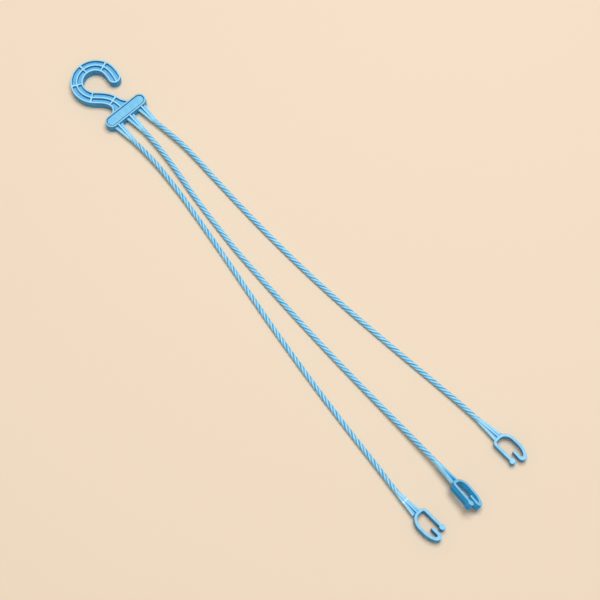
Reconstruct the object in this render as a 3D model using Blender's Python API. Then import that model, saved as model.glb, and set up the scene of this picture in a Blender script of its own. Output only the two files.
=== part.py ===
"""A hanging-pot hanger: a ribbed hook, a plate, three rope strands and three snap clips.

The hanger lies flat and face up. +X runs along the plate, +Y from the plate to the hook,
and +Z is up. The origin is the middle of the plate's underside. All sizes are in metres.
"""

import math

import bmesh
import bpy
from mathutils import Matrix, Vector

# Clearance between two pieces that meet.
GAP = 0.0003

# The plate, a flat bar with round ends and a framed panel on its face.
PLATE_LENGTH = 0.037
PLATE_WIDTH = 0.0104
PLATE_THICKNESS = 0.008
PLATE_RIM = 0.0012
PLATE_GROOVE = 0.0007
PLATE_GROOVE_DEPTH = 0.0014
PLATE_PANEL_DROP = 0.0005

# The hook, a band of I-section with a middle rib and cross ribs. Angles are in degrees.
HOOK_BAND = 0.0097
HOOK_THICKNESS = 0.0072
HOOK_WEB = 0.0032
HOOK_RIM = 0.0013
HOOK_RIB = 0.0012
HOOK_REACH_X = 0.0138
HOOK_REACH_Y = 0.0136
HOOK_LOWER_REACH = 0.0146
HOOK_CENTRE_X = -0.0008
HOOK_CENTRE_RISE = 0.0299
HOOK_ARM = 0.0077
HOOK_ARM_RADIUS = 0.032
HOOK_SWEEP = 228
HOOK_STEM_LEAD = 0.0095
HOOK_FOOT_X = -0.0006
HOOK_FLARE = 0.0036
HOOK_FLARE_LENGTH = 0.0065
HOOK_FLARE_POWER = 2.5
HOOK_RIB_ANGLES = (22, 90, 152, 219)
HOOK_STEM_RIB_RISE = 0.0075

# The strands and the cross-shaped tapers that carry them.
STRAND_DIAMETER = 0.0036
STRAND_SPACING = PLATE_LENGTH * 0.3027
STRAND_REACH = 0.35
ROOT_LENGTH = 0.0142
ROOT_WIDTH = 0.007
ROOT_RIDGE_HEIGHT = 0.007
WING_END_WIDTH = 0.0042
WING_THICKNESS = 0.0024
RIDGE_THICKNESS = 0.0012
BEND_LENGTH = 0.012

# The clips. The latch leans outwards by a few degrees.
NECK_LENGTH = 0.0163
NECK_WIDTH = 0.0073
CLIP_THICKNESS = 0.0058
CLIP_BAND = 0.0022
CLIP_REACH = 0.0214
CLIP_ARM_X = 0.0064
CLIP_PRONG_X = 0.0002
CLIP_PRONG_LENGTH = 0.0071
CLIP_SHOULDER = 0.0026
CLIP_BROW = 0.0082
CLIP_CHIN = 0.0091
CLIP_HEEL_WIDTH = 0.0017
CLIP_HEEL = 0.0024
CLIP_HEEL_SWELL = 0.0009
CLIP_HEEL_SPREAD = 0.006
LATCH_X = -0.00535
LATCH_LENGTH = 0.0151
LATCH_BEAD = 0.0044
LATCH_LEAN = 2.5

# How each clip lies, in degrees: its heading from +Y, its roll about its strand and the
# cant of its frame on its neck.
CLIP_LIE = {
    "left": (-0.8, 186.0, -1.8),
    "middle": (-2.0, 43.0, -3.0),
    "right": (3.4, -4.0, -3.0),
}

# Each strand's way from its root to its clip, after the first point at the root, as it is
# where the strands reach ROUTE_REACH below the plate.
ROUTE_REACH = 0.35
ROUTES = {
    "left": [
        (-0.0109, -0.0340, 0.0040),
        (-0.0112, -0.0490, 0.0036),
        (-0.0126, -0.0650, 0.0030),
        (-0.0144, -0.0810, 0.0024),
        (-0.0168, -0.0964, 0.0020),
        (-0.0192, -0.1120, 0.0019),
        (-0.0243, -0.1426, 0.0019),
        (-0.0296, -0.1727, 0.0019),
        (-0.0346, -0.2024, 0.0019),
        (-0.0391, -0.2315, 0.0019),
        (-0.0431, -0.2603, 0.0019),
        (-0.0465, -0.2886, 0.0020),
        (-0.0496, -0.3165, 0.0025),
        (-0.0512, -0.3303, 0.0030),
        (-0.0526, -0.3410, 0.0035),
        (-0.0535, -0.3500, 0.00384),
    ],
    "middle": [
        (-0.0006, -0.0340, 0.0040),
        (-0.0020, -0.0490, 0.0036),
        (-0.0042, -0.0650, 0.0030),
        (-0.0068, -0.0810, 0.0024),
        (-0.0091, -0.0970, 0.0020),
        (-0.0110, -0.1130, 0.0019),
        (-0.0138, -0.1400, 0.0019),
        (-0.0153, -0.1665, 0.0019),
        (-0.0167, -0.1965, 0.0019),
        (-0.0177, -0.2260, 0.0019),
        (-0.0183, -0.2551, 0.0020),
        (-0.0186, -0.2838, 0.0024),
        (-0.0188, -0.3120, 0.0036),
        (-0.0190, -0.3260, 0.0047),
        (-0.0193, -0.3399, 0.0059),
        (-0.0196, -0.3525, 0.0070),
    ],
    "right": [
        (0.0126, -0.0340, 0.0040),
        (0.0138, -0.0490, 0.0036),
        (0.0138, -0.0650, 0.0030),
        (0.0132, -0.0810, 0.0024),
        (0.0127, -0.0970, 0.0020),
        (0.0122, -0.1130, 0.0019),
        (0.0117, -0.1400, 0.0019),
        (0.0118, -0.1665, 0.0019),
        (0.0125, -0.1947, 0.0019),
        (0.0140, -0.2243, 0.0019),
        (0.0162, -0.2534, 0.0019),
        (0.0187, -0.2820, 0.0020),
        (0.0213, -0.3103, 0.0023),
        (0.0225, -0.3243, 0.0028),
        (0.0234, -0.3383, 0.0032),
        (0.0240, -0.3503, 0.0036),
    ],
}

SIDES = {"left": -1, "middle": 0, "right": 1}

PLASTIC_COLOUR = (0.231, 0.521, 0.745, 1.0)
STRAND_COLOUR = (0.216, 0.503, 0.730, 1.0)
PLASTIC_ROUGHNESS = 0.42
STRAND_ROUGHNESS = 0.48

WELD = 0.000001
SHARP_ANGLE = math.radians(32)
OUTLINE_STEP = 0.0014
ARM_STEPS = 6
RING_STEP = 6
STEM_STEPS = 24
ROUND_STEPS = 12
TAPER_STEPS = 8
TAPER_POWER = 1.5
DOME_STEPS = (0.1, 0.3, 0.6, 1.0)
TUBE_STEP = 2.4


def clear_scene():
    for item in list(bpy.data.objects):
        bpy.data.objects.remove(item, do_unlink=True)


def new_collection(name):
    collection = bpy.data.collections.new(name)
    bpy.context.scene.collection.children.link(collection)
    return collection


def plastic(name, colour, roughness):
    """A plain moulded plastic."""
    material = bpy.data.materials.new(name)
    material.use_nodes = True
    shader = material.node_tree.nodes["Principled BSDF"]
    shader.inputs["Base Color"].default_value = colour
    shader.inputs["Roughness"].default_value = roughness
    shader.inputs["Metallic"].default_value = 0.0
    return material


class Track:
    """A path of points that can be read at any distance along it."""

    def __init__(self, points):
        self.points = points
        self.marks = [0.0]
        for here, there in zip(points, points[1:]):
            self.marks.append(self.marks[-1] + (there - here).length)
        self.length = self.marks[-1]

    def span(self, distance):
        """The index of the stretch that holds a distance, and the share of it passed."""
        last = len(self.points) - 2
        index = 0
        while index < last and self.marks[index + 1] < distance:
            index += 1
        size = self.marks[index + 1] - self.marks[index]
        return index, (distance - self.marks[index]) / size

    def knot_heading(self, index):
        before = self.points[max(index - 1, 0)]
        after = self.points[min(index + 1, len(self.points) - 1)]
        return (after - before).normalized()

    def at(self, distance):
        index, share = self.span(distance)
        return self.points[index].lerp(self.points[index + 1], share)

    def heading(self, distance):
        index, share = self.span(distance)
        return self.knot_heading(index).lerp(self.knot_heading(index + 1), share).normalized()

    def beside(self, distance, aside):
        """A point to the left of a flat path, or to its right where aside is negative."""
        ahead = self.heading(distance)
        return self.at(distance) + Vector((-ahead.y, ahead.x)) * aside


def arc(centre, reach_x, reach_y, start, stop, steps):
    """Points round part of an ellipse, from one angle to another in radians."""
    points = []
    for step in range(steps + 1):
        angle = start + (stop - start) * step / steps
        points.append(centre + Vector((reach_x * math.cos(angle), reach_y * math.sin(angle))))
    return points


def evenly(first, last, step):
    """Distances from first to last, at most one step apart."""
    count = max(1, math.ceil(abs(last - first) / step))
    return [first + (last - first) * k / count for k in range(count + 1)]


def smooth_curve(points, fineness=12):
    """Points on a smooth curve that passes through every given point."""
    ends = [points[0] * 2 - points[1]] + points + [points[-1] * 2 - points[-2]]
    curve = []
    for a, b, c, d in zip(ends, ends[1:], ends[2:], ends[3:]):
        for step in range(fineness):
            t = step / fineness
            bow = (a * 2 - b * 5 + c * 4 - d) * t * t + (b * 3 - a - c * 3 + d) * t * t * t
            curve.append((b * 2 + (c - a) * t + bow) / 2)
    curve.append(points[-1])
    return curve


def tidy_mesh(mesh):
    """Weld a mesh's loose caps and face it outwards."""
    shape = bmesh.new()
    shape.from_mesh(mesh)
    bmesh.ops.remove_doubles(shape, verts=shape.verts, dist=WELD)
    bmesh.ops.recalc_face_normals(shape, faces=shape.faces)
    shape.to_mesh(mesh)
    shape.free()
    return mesh


def evaluated_mesh(item):
    """The mesh of an object as its modifiers leave it. The object is removed."""
    bpy.context.view_layer.update()
    seen = item.evaluated_get(bpy.context.evaluated_depsgraph_get())
    mesh = bpy.data.meshes.new_from_object(seen)
    bpy.data.objects.remove(item, do_unlink=True)
    return mesh


def flat_mesh(outlines, thickness):
    """A closed slab of flat outlines, with its middle plane at z = 0."""
    curve = bpy.data.curves.new("outline", 'CURVE')
    curve.dimensions = '2D'
    curve.fill_mode = 'BOTH'
    curve.extrude = thickness / 2
    for outline in outlines:
        spline = curve.splines.new('POLY')
        spline.points.add(len(outline) - 1)
        for knot, spot in zip(spline.points, outline):
            knot.co = (spot.x, spot.y, 0.0, 1.0)
        spline.use_cyclic_u = True
    drawn = bpy.data.objects.new("outline", curve)
    bpy.context.scene.collection.objects.link(drawn)
    return tidy_mesh(evaluated_mesh(drawn))


def core_mesh(thin, thick, length):
    """A round core from the origin down -Y that swells from thin to thick."""
    shape = bmesh.new()
    turn = Matrix.Translation((0, -length / 2, 0)) @ Matrix.Rotation(math.pi / 2, 4, 'X')
    bmesh.ops.create_cone(shape, cap_ends=True, segments=16, radius1=thick / 2,
                          radius2=thin / 2, depth=length, matrix=turn)
    mesh = bpy.data.meshes.new("core")
    shape.to_mesh(mesh)
    shape.free()
    return mesh


def add_helper(name, mesh, collection, z=0.0):
    """A solid that only cuts or joins another."""
    helper = bpy.data.objects.new(name, mesh)
    helper.location.z = z
    helper.hide_render = True
    helper.display_type = 'WIRE'
    collection.objects.link(helper)
    return helper


def combine(target, helper, operation):
    change = target.modifiers.new(helper.name, 'BOOLEAN')
    change.operation = operation
    change.solver = 'EXACT'
    change.object = helper


def smooth_shade(mesh):
    mesh.shade_smooth()
    mesh.set_sharp_from_angle(angle=SHARP_ANGLE)
    return mesh


def add_piece(name, data, material, collection, location=(0, 0, 0)):
    data.materials.clear()
    data.materials.append(material)
    piece = bpy.data.objects.new(name, data)
    piece.location = location
    collection.objects.link(piece)
    return piece


def carry(child, parent):
    """Parent a piece and leave it where it is."""
    bpy.context.view_layer.update()
    child.parent = parent
    child.matrix_parent_inverse = parent.matrix_world.inverted()


def stadium(length, width):
    """A bar's outline with half-round ends."""
    radius = width / 2
    middle = Vector((length / 2 - radius, 0))
    right = arc(middle, radius, radius, -math.pi / 2, math.pi / 2, ROUND_STEPS)
    left = arc(-middle, radius, radius, math.pi / 2, 3 * math.pi / 2, ROUND_STEPS)
    return right + left


def add_plate(parts, cutters, material):
    """The plate: a rim, a groove inside it and a panel a little lower."""
    mesh = flat_mesh([stadium(PLATE_LENGTH, PLATE_WIDTH)], PLATE_THICKNESS)
    plate = add_piece("plate", smooth_shade(mesh), material, parts,
                      (0, 0, PLATE_THICKNESS / 2))
    inside = 2 * PLATE_RIM
    recess = flat_mesh([stadium(PLATE_LENGTH - inside, PLATE_WIDTH - inside)],
                       2 * PLATE_GROOVE_DEPTH)
    combine(plate, add_helper("plate_recess", recess, cutters, PLATE_THICKNESS), 'DIFFERENCE')
    inside += 2 * PLATE_GROOVE
    height = PLATE_THICKNESS / 2 - PLATE_PANEL_DROP
    panel = flat_mesh([stadium(PLATE_LENGTH - inside, PLATE_WIDTH - inside)], height)
    middle = (PLATE_THICKNESS + height) / 2
    combine(plate, add_helper("plate_panel", panel, cutters, middle), 'UNION')
    return plate


def hook_track():
    """The hook's middle line: up the free arm, round the ring and down the stem."""
    centre = Vector((HOOK_CENTRE_X, PLATE_WIDTH / 2 + HOOK_CENTRE_RISE))
    sweep = math.radians(HOOK_SWEEP)
    arm_centre = centre + Vector((HOOK_REACH_X - HOOK_ARM_RADIUS, 0))
    arm = arc(arm_centre, HOOK_ARM_RADIUS, HOOK_ARM_RADIUS, -HOOK_ARM / HOOK_ARM_RADIUS, 0,
              ARM_STEPS)
    upper = arc(centre, HOOK_REACH_X, HOOK_REACH_Y, 0, math.pi, 180 // RING_STEP)
    lower = arc(centre, HOOK_REACH_X, HOOK_LOWER_REACH, math.pi, sweep,
                (HOOK_SWEEP - 180) // RING_STEP)
    ring = arm + upper[1:] + lower[1:]
    foot = Vector((HOOK_FOOT_X, PLATE_WIDTH / 2 + GAP))
    leave = Vector((-HOOK_REACH_X * math.sin(sweep), HOOK_LOWER_REACH * math.cos(sweep)))
    first = ring[-1] + leave.normalized() * HOOK_STEM_LEAD
    second = foot + Vector((0, HOOK_STEM_LEAD))
    stem = []
    for k in range(1, STEM_STEPS + 1):
        t = k / STEM_STEPS
        near = ring[-1] * (1 - t) ** 3 + first * 3 * t * (1 - t) ** 2
        stem.append(near + second * 3 * t * t * (1 - t) + foot * t ** 3)
    return Track(ring + stem)


def ring_mark(track, angle):
    """How far along the hook an angle of its ring lies."""
    place = ARM_STEPS + angle / RING_STEP
    index = int(place)
    return track.marks[index] + (track.marks[index + 1] - track.marks[index]) * (place - index)


def hook_half(track, distance):
    """Half the hook's width, which flares where the stem meets the plate."""
    left = (track.length - distance) / HOOK_FLARE_LENGTH
    return HOOK_BAND / 2 + HOOK_FLARE * max(0.0, 1 - left) ** HOOK_FLARE_POWER


def hook_outline(track):
    steps = evenly(0, track.length, OUTLINE_STEP)
    outer = [track.beside(s, -hook_half(track, s)) for s in steps]
    inner = [track.beside(s, hook_half(track, s)) for s in reversed(steps)]
    radius = HOOK_BAND / 2
    ahead = track.heading(0)
    turn = math.atan2(ahead.y, ahead.x) + math.pi / 2
    nose = arc(track.at(0), radius, radius, turn, turn + math.pi, ROUND_STEPS)
    return outer + inner + nose[1:-1]


def channel_outline(track, side, first, last):
    """One pocket between the middle rib and a rim, from one cross rib to the next."""
    near = HOOK_RIB / 2
    steps = evenly(first, last, OUTLINE_STEP)
    inner = [track.beside(s, side * near) for s in steps]
    outer = [track.beside(s, side * (hook_half(track, s) - HOOK_RIM)) for s in steps]
    if first > 0:
        return inner + outer[::-1]
    radius = HOOK_BAND / 2 - HOOK_RIM
    turn = math.acos(near / radius)
    ahead = track.heading(0)
    aside = Vector((-ahead.y, ahead.x)) * side
    nose = []
    for k in range(1, 6):
        angle = turn * k / 5
        nose.append(track.at(0) + (aside * math.cos(angle) - ahead * math.sin(angle)) * radius)
    return inner + outer[::-1] + nose


def channel_outlines(track):
    """Every pocket on one face of the hook."""
    stops = [0.0]
    for angle in HOOK_RIB_ANGLES:
        stops.append(ring_mark(track, angle))
    stops.append(track.length - HOOK_STEM_RIB_RISE)
    stops.append(track.length + HOOK_RIB)
    outlines = []
    for low, high in zip(stops, stops[1:]):
        first = low + HOOK_RIB / 2 if low else 0.0
        for side in (1, -1):
            outlines.append(channel_outline(track, side, first, high - HOOK_RIB / 2))
    return outlines


def add_hook(parts, cutters, material):
    track = hook_track()
    mesh = flat_mesh([hook_outline(track)], HOOK_THICKNESS)
    middle = PLATE_THICKNESS / 2
    hook = add_piece("hook", smooth_shade(mesh), material, parts, (0, 0, middle))
    depth = HOOK_THICKNESS - HOOK_WEB
    pockets = flat_mesh(channel_outlines(track), depth)
    for name, side in (("front_channels", 1), ("back_channels", -1)):
        helper = add_helper(name, pockets, cutters, middle + side * HOOK_THICKNESS / 2)
        combine(hook, helper, 'DIFFERENCE')
    return hook


def taper_outline(length, wide, narrow):
    """A strip that narrows down -Y from wide to narrow, in a slight hollow curve."""
    right = []
    for k in range(TAPER_STEPS + 1):
        share = k / TAPER_STEPS
        half = (narrow + (wide - narrow) * (1 - share) ** TAPER_POWER) / 2
        right.append(Vector((half, -length * share)))
    left = [Vector((-spot.x, spot.y)) for spot in reversed(right)]
    return right + left


def taper_mesh(length, wide, tall, cutters):
    """Flat wings, an upright ridge through them and the strand's own round core."""
    wings = flat_mesh([taper_outline(length, wide, WING_END_WIDTH)], WING_THICKNESS)
    upright = [Vector((spot.y, spot.x)) for spot in taper_outline(length, tall, STRAND_DIAMETER)]
    ridge = flat_mesh([upright], RIDGE_THICKNESS)
    ridge.transform(Matrix(((0, 0, 1, 0), (1, 0, 0, 0), (0, 1, 0, 0), (0, 0, 0, 1))))
    core = core_mesh(RIDGE_THICKNESS, STRAND_DIAMETER, length)
    body = add_helper("taper", wings, cutters)
    extras = [add_helper("taper_ridge", ridge, cutters), add_helper("taper_core", core, cutters)]
    for extra in extras:
        combine(body, extra, 'UNION')
    mesh = evaluated_mesh(body)
    for extra in extras:
        bpy.data.objects.remove(extra, do_unlink=True)
    return smooth_shade(mesh)


def tube(name, track, first, last, material, collection, pivot):
    """A stretch of strand with a domed start, its origin at the dome's centre."""
    radius = STRAND_DIAMETER / 2
    stations = []
    for share in DOME_STEPS:
        stations.append((first + radius * share, math.sqrt(1 - (1 - share) ** 2)))
    for distance in evenly(first + radius, last, TUBE_STEP * STRAND_DIAMETER)[1:]:
        stations.append((distance, 1.0))
    curve = bpy.data.curves.new(name, 'CURVE')
    curve.dimensions = '3D'
    curve.bevel_depth = radius
    curve.bevel_resolution = 2
    curve.use_fill_caps = True
    spline = curve.splines.new('POLY')
    spline.points.add(len(stations) - 1)
    spline.use_smooth = True
    for knot, (distance, share) in zip(spline.points, stations):
        knot.co = (track.at(distance) - pivot).to_4d()
        knot.radius = share
    return add_piece(name, curve, material, collection, pivot)


def clip_frame_track():
    """The clip's middle line from its top at y = 0: shoulder, curved arm, chin and prong."""
    bottom = -CLIP_REACH
    quarter = math.pi / 2
    shoulder = arc(Vector((LATCH_X + CLIP_SHOULDER, -CLIP_SHOULDER)),
                   CLIP_SHOULDER, CLIP_SHOULDER, 2 * quarter, quarter, ROUND_STEPS)
    brow_width = CLIP_ARM_X - CLIP_PRONG_X / 2
    brow = arc(Vector((CLIP_ARM_X - brow_width, -CLIP_BROW)),
               brow_width, CLIP_BROW, quarter, 0, ROUND_STEPS)
    lowest = CLIP_PRONG_X + CLIP_HEEL_WIDTH
    chin = arc(Vector((lowest, bottom + CLIP_CHIN)), CLIP_ARM_X - lowest, CLIP_CHIN,
               0, -quarter, ROUND_STEPS)
    heel = arc(Vector((lowest, bottom + CLIP_HEEL)), CLIP_HEEL_WIDTH, CLIP_HEEL,
               -quarter, -2 * quarter, ROUND_STEPS)
    tip = Vector((CLIP_PRONG_X, bottom + CLIP_PRONG_LENGTH))
    return Track(shoulder + brow + chin + heel[1:] + [tip])


def clip_frame_mesh():
    track = clip_frame_track()
    half = CLIP_BAND / 2
    heights = [spot.y for spot in track.points]
    lowest = track.marks[heights.index(min(heights))]
    outer = []
    for s in track.marks:
        share = max(0.0, 1 - abs(s - lowest) / CLIP_HEEL_SPREAD)
        outer.append(track.beside(s, half + CLIP_HEEL_SWELL * share ** 2))
    inner = [track.beside(s, -half) for s in track.marks]
    end = arc(track.points[-1], half, half, math.pi, 0, ROUND_STEPS)
    outline = outer + end[1:-1] + inner[::-1]
    return smooth_shade(flat_mesh([outline], CLIP_THICKNESS))


def latch_mesh():
    """The straight arm from its flexing root at the origin down to its round bead."""
    half = CLIP_BAND / 2
    radius = LATCH_BEAD / 2
    open_angle = math.asin(half / radius)
    bead = arc(Vector((0, -LATCH_LENGTH)), radius, radius, math.pi / 2 + open_angle,
               5 * math.pi / 2 - open_angle, 2 * ROUND_STEPS)
    outline = [Vector((half, 0)), Vector((-half, 0))] + bead
    return smooth_shade(flat_mesh([outline], CLIP_THICKNESS))


def strand_track(side, root_end):
    """A strand's smooth way from the end of its root to its clip."""
    stretch = STRAND_REACH / ROUTE_REACH
    spots = [Vector((SIDES[side] * STRAND_SPACING, root_end - GAP, PLATE_THICKNESS / 2))]
    for x, y, z in ROUTES[side]:
        spots.append(Vector((x, y * stretch, z)))
    return Track(smooth_curve(spots))


def add_clip(side, track, meshes, material, parts):
    """A clip at the end of a strand, on an empty that lies on its turning axis."""
    heading, roll, cant = CLIP_LIE[side]
    turn = Matrix.Rotation(math.radians(heading), 4, 'Z')
    turn = turn @ Matrix.Rotation(math.radians(roll), 4, 'Y')
    ahead = turn.to_3x3() @ Vector((0, -1, 0))
    axle = bpy.data.objects.new("clip_axis_" + side, None)
    axle.empty_display_size = CLIP_BAND
    axle.matrix_world = Matrix.Translation(track.at(track.length) + ahead * GAP) @ turn
    parts.objects.link(axle)
    neck = add_piece("clip_neck_" + side, meshes["neck"], material, parts)
    frame = add_piece("clip_frame_" + side, meshes["frame"], material, parts)
    latch = add_piece("latch_arm_" + side, meshes["latch"], material, parts)
    top = NECK_LENGTH + GAP + CLIP_BAND / 2
    tilt = Matrix.Translation((0, -top, 0)) @ Matrix.Rotation(math.radians(cant), 4, 'Z')
    flex = Vector((LATCH_X, -CLIP_SHOULDER - GAP, 0))
    neck.matrix_basis = (Matrix.Translation((0, -NECK_LENGTH, 0))
                         @ Matrix.Rotation(math.pi, 4, 'Z'))
    frame.matrix_basis = tilt
    latch.matrix_basis = (tilt @ Matrix.Translation(flex)
                          @ Matrix.Rotation(math.radians(-LATCH_LEAN), 4, 'Z'))
    for piece in (neck, frame, latch):
        piece.parent = axle
    return axle


def add_strand(side, root, meshes, materials, parts):
    """A root, the stretch that bends, the long stretch and the clip at its end."""
    root_start = -PLATE_WIDTH / 2 - GAP
    across = SIDES[side] * STRAND_SPACING
    add_piece("strand_root_" + side, root, materials["body"], parts,
              (across, root_start, PLATE_THICKNESS / 2))
    track = strand_track(side, root_start - ROOT_LENGTH)
    radius = STRAND_DIAMETER / 2
    bend = tube("strand_bend_" + side, track, 0, BEND_LENGTH, materials["strand"], parts,
                track.at(radius))
    start = BEND_LENGTH + GAP
    strand = tube("strand_" + side, track, start, track.length, materials["strand"], parts,
                  track.at(start + radius))
    axle = add_clip(side, track, meshes, materials["clip"], parts)
    carry(strand, bend)
    carry(axle, strand)


def main():
    clear_scene()
    parts = new_collection("hanging_pot_hanger")
    cutters = new_collection("cutters")
    materials = {
        "body": plastic("body_plastic", PLASTIC_COLOUR, PLASTIC_ROUGHNESS),
        "strand": plastic("strand_plastic", STRAND_COLOUR, STRAND_ROUGHNESS),
        "clip": plastic("clip_plastic", PLASTIC_COLOUR, PLASTIC_ROUGHNESS),
    }
    add_plate(parts, cutters, materials["body"])
    add_hook(parts, cutters, materials["body"])
    root = taper_mesh(ROOT_LENGTH, ROOT_WIDTH, ROOT_RIDGE_HEIGHT, cutters)
    meshes = {
        "neck": taper_mesh(NECK_LENGTH, NECK_WIDTH, CLIP_THICKNESS, cutters),
        "frame": clip_frame_mesh(),
        "latch": latch_mesh(),
    }
    for side in SIDES:
        add_strand(side, root, meshes, materials, parts)
    bpy.context.view_layer.update()


main()
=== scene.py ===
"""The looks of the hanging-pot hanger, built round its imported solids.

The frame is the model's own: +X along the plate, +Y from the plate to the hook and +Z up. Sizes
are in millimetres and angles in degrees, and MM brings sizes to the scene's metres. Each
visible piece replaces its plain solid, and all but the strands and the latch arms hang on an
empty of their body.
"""

import math

import bmesh
import bpy
from mathutils import Matrix, Vector
from mathutils.geometry import tessellate_polygon


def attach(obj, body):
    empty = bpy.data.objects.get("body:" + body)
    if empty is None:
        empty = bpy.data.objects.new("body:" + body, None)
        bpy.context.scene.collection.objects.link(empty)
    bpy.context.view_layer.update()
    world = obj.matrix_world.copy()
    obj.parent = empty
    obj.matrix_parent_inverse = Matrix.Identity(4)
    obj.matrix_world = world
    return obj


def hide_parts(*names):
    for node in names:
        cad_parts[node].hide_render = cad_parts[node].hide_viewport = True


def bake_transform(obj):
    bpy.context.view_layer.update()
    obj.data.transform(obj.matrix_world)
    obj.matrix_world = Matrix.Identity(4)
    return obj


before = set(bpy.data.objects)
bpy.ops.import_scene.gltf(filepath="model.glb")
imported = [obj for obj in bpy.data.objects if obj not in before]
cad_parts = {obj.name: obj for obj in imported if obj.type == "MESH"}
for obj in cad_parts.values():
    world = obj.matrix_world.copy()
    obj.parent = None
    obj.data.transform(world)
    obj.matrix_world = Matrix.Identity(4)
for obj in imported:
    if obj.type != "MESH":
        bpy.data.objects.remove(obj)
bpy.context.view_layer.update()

MM = 0.001
SIDES = {"left": -1, "middle": 0, "right": 1}

# Clearance between two solids that meet.
GAP = 0.3

# The plate, a flat bar with round ends and a framed panel on its face.
PLATE_LENGTH = 37.0
PLATE_WIDTH = 10.4
PLATE_THICKNESS = 8.0
PLATE_RIM = 1.2
PLATE_GROOVE = 0.7
PLATE_GROOVE_DEPTH = 1.4
PLATE_PANEL_DROP = 0.5

# The hook, a band of I-section with a middle rib and cross ribs. Its foot sinks into the plate,
# its stem's curve ends just inside the plate, and its channels stop short of the foot's end.
HOOK_BAND = 9.7
HOOK_THICKNESS = 7.2
HOOK_WEB = 3.2
HOOK_RIM = 1.3
HOOK_RIB = 1.2
HOOK_REACH_X = 13.8
HOOK_REACH_Y = 13.6
HOOK_LOWER_REACH = 14.6
HOOK_CENTRE_X = -0.8
HOOK_CENTRE_RISE = 29.9
HOOK_ARM = 7.7
HOOK_ARM_RADIUS = 32.0
HOOK_SWEEP = 228
HOOK_STEM_LEAD = 9.5
HOOK_FOOT_X = -0.6
HOOK_FLARE = 3.6
HOOK_FLARE_LENGTH = 6.5
HOOK_FLARE_POWER = 2.5
HOOK_RIB_ANGLES = (22, 90, 152, 219)
HOOK_STEM_RIB_RISE = 7.5
HOOK_SINK = 1.35
HOOK_CURVE_END = 0.4
CHANNEL_STOP = 0.85
CHANNEL_CORNER = 0.55

# The strands and the cross-shaped tapers that carry them. A taper runs out into the strand over
# its last stretch, where its round core has grown to its full thickness.
STRAND_DIAMETER = 3.6
STRAND_SPACING = 11.2
ROOT_LENGTH = 14.2
ROOT_WIDTH = 7.0
ROOT_RIDGE_HEIGHT = 7.0
ROOT_SINK = 0.3
ROOT_LEAD = 0.5
WING_END_WIDTH = 4.2
WING_THICKNESS = 2.4
RIDGE_THICKNESS = 1.2
TAPER_POWER = 1.5
RUN_OUT = 0.8
TIP_SHARE = 0.48
CORE_SHARE = 0.985
CORE_POWER = 1.2
WING_EDGE = 0.3
RIDGE_EDGE = 0.25
BEND_LENGTH = 12.0
STRAND_SEAM = BEND_LENGTH * 0.66

# Distances from a strand's root at which ride_strand reads points on the strand; the points go
# unused.
START_BENDS_TO = 5.0
ROPE_BENDS_FROM = 9.0
ROPE_BENDS_TO = 19.0

# The clips. A clip lies by its heading from +Y, its roll about its strand and the cant of its
# frame on its neck, in degrees.
NECK_LENGTH = 16.3
NECK_WIDTH = 7.3
NECK_SINK = 0.5
NECK_LAP = 2.2 * GAP
CLIP_THICKNESS = 5.8
CLIP_BAND = 2.2
CLIP_REACH = 21.4
CLIP_ARM_X = 6.4
CLIP_PRONG_X = 0.2
CLIP_PRONG_LENGTH = 7.1
CLIP_SHOULDER = 2.6
CLIP_BROW = 8.2
CLIP_CHIN = 9.1
CLIP_HEEL_WIDTH = 1.7
CLIP_HEEL = 2.4
CLIP_HEEL_SWELL = 0.9
CLIP_HEEL_SPREAD = 6.0
LATCH_X = -5.35
LATCH_LENGTH = 15.1
LATCH_BEAD = 4.4
CLIP_LIE = {
    "left": (-0.8, 186.0, -1.8),
    "middle": (-2.0, 43.0, -3.0),
    "right": (3.4, -4.0, -3.0),
}

# Each strand's way from its root to its clip, in metres.
ROUTES = {
    "left": [
        (-0.0109, -0.0340, 0.0040), (-0.0112, -0.0490, 0.0036), (-0.0126, -0.0650, 0.0030),
        (-0.0144, -0.0810, 0.0024), (-0.0168, -0.0964, 0.0020), (-0.0192, -0.1120, 0.0019),
        (-0.0243, -0.1426, 0.0019), (-0.0296, -0.1727, 0.0019), (-0.0346, -0.2024, 0.0019),
        (-0.0391, -0.2315, 0.0019), (-0.0431, -0.2603, 0.0019), (-0.0465, -0.2886, 0.0020),
        (-0.0496, -0.3165, 0.0025), (-0.0512, -0.3303, 0.0030), (-0.0526, -0.3410, 0.0035),
        (-0.0535, -0.3500, 0.00384),
    ],
    "middle": [
        (-0.0006, -0.0340, 0.0040), (-0.0020, -0.0490, 0.0036), (-0.0042, -0.0650, 0.0030),
        (-0.0068, -0.0810, 0.0024), (-0.0091, -0.0970, 0.0020), (-0.0110, -0.1130, 0.0019),
        (-0.0138, -0.1400, 0.0019), (-0.0153, -0.1665, 0.0019), (-0.0167, -0.1965, 0.0019),
        (-0.0177, -0.2260, 0.0019), (-0.0183, -0.2551, 0.0020), (-0.0186, -0.2838, 0.0024),
        (-0.0188, -0.3120, 0.0036), (-0.0190, -0.3260, 0.0047), (-0.0193, -0.3399, 0.0059),
        (-0.0196, -0.3525, 0.0070),
    ],
    "right": [
        (0.0126, -0.0340, 0.0040), (0.0138, -0.0490, 0.0036), (0.0138, -0.0650, 0.0030),
        (0.0132, -0.0810, 0.0024), (0.0127, -0.0970, 0.0020), (0.0122, -0.1130, 0.0019),
        (0.0117, -0.1400, 0.0019), (0.0118, -0.1665, 0.0019), (0.0125, -0.1947, 0.0019),
        (0.0140, -0.2243, 0.0019), (0.0162, -0.2534, 0.0019), (0.0187, -0.2820, 0.0020),
        (0.0213, -0.3103, 0.0023), (0.0225, -0.3243, 0.0028), (0.0234, -0.3383, 0.0032),
        (0.0240, -0.3503, 0.0036),
    ],
}

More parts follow.
